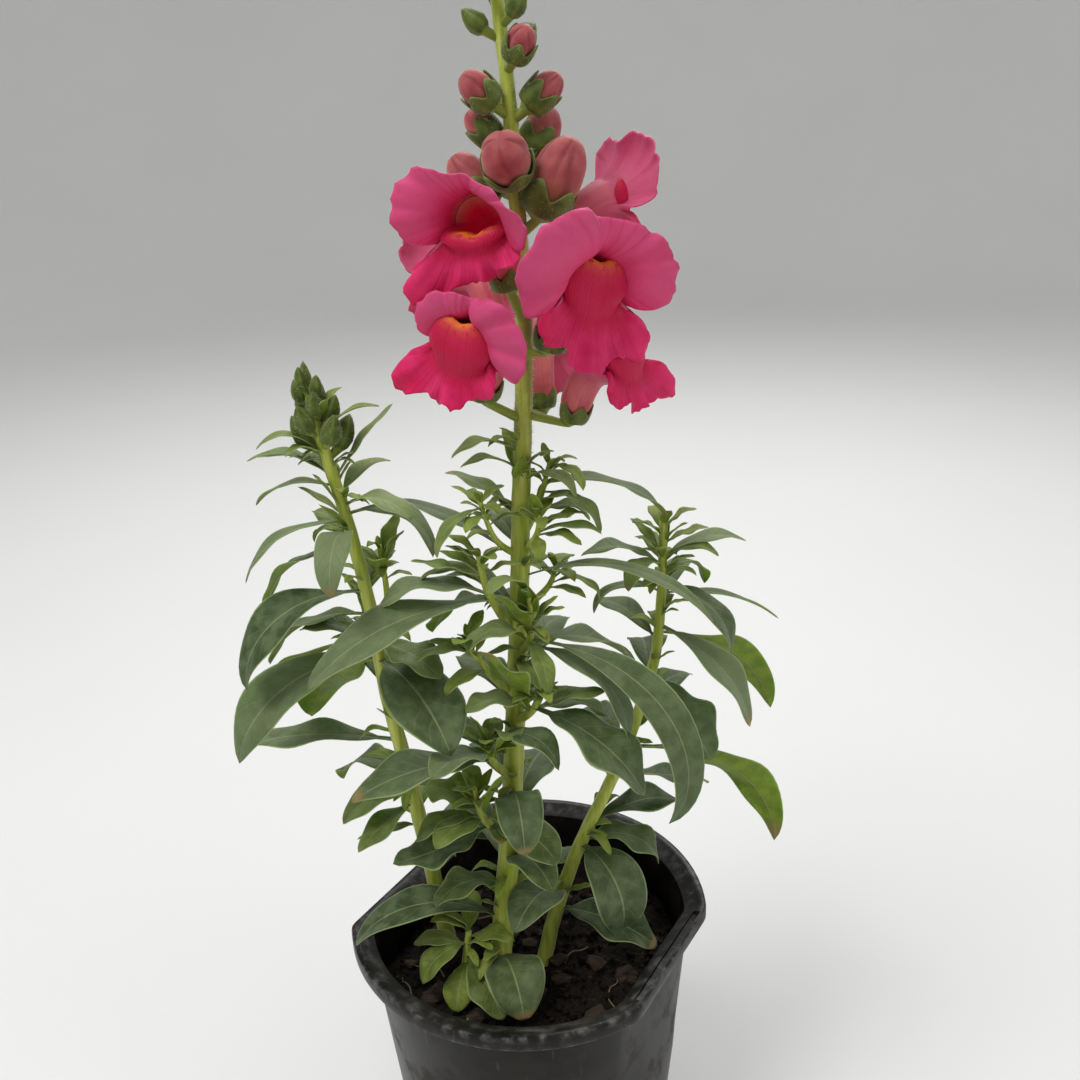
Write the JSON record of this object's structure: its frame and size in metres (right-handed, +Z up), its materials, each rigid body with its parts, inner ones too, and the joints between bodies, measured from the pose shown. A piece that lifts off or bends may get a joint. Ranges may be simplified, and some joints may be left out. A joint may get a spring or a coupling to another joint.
{
  "type": "snapdragon plant",
  "caption": "Snapdragon plant with a spike of two-lipped pink flowers, leafy side stems and a round black nursery pot with a rim flattened on two sides.",
  "frame": {"origin": "centre of the pot's flat underside", "axes": "+Z up along the plant, -Y towards the front of the plant, +X to the right as seen from the front"},
  "size_m": [0.1876, 0.1196, 0.4139],
  "materials": {
    "petal": "soft satin petal",
    "bud": "matt, finely hairy",
    "foliage": "matt grey-green with pale midribs and fine hairs",
    "pot_plastic": "worn black plastic, dusty",
    "soil": "dark peat with bark chips"
  },
  "bodies": {
    "root": {"flower_front_left_low": "petal", "flower_right_low": "petal", "flower_back_low": "petal", "flower_front_right_middle": "petal", "flower_front_left_middle": "petal", "flower_back_left_middle": "petal", "flower_back_right_high": "petal", "bud_front": "bud", "bud_right_large": "bud", "bud_right_upper": "bud", "bud_left_back": "bud", "bud_back": "bud", "bud_left_upper": "bud", "bud_right_top": "bud", "bud_left_top": "bud", "bud_front_top": "bud", "main_stem": "foliage", "left_stem": "foliage", "right_stem": "foliage", "front_shoot": "foliage", "pot": "pot_plastic", "soil": "soil"}
  },
  "joints": []
}
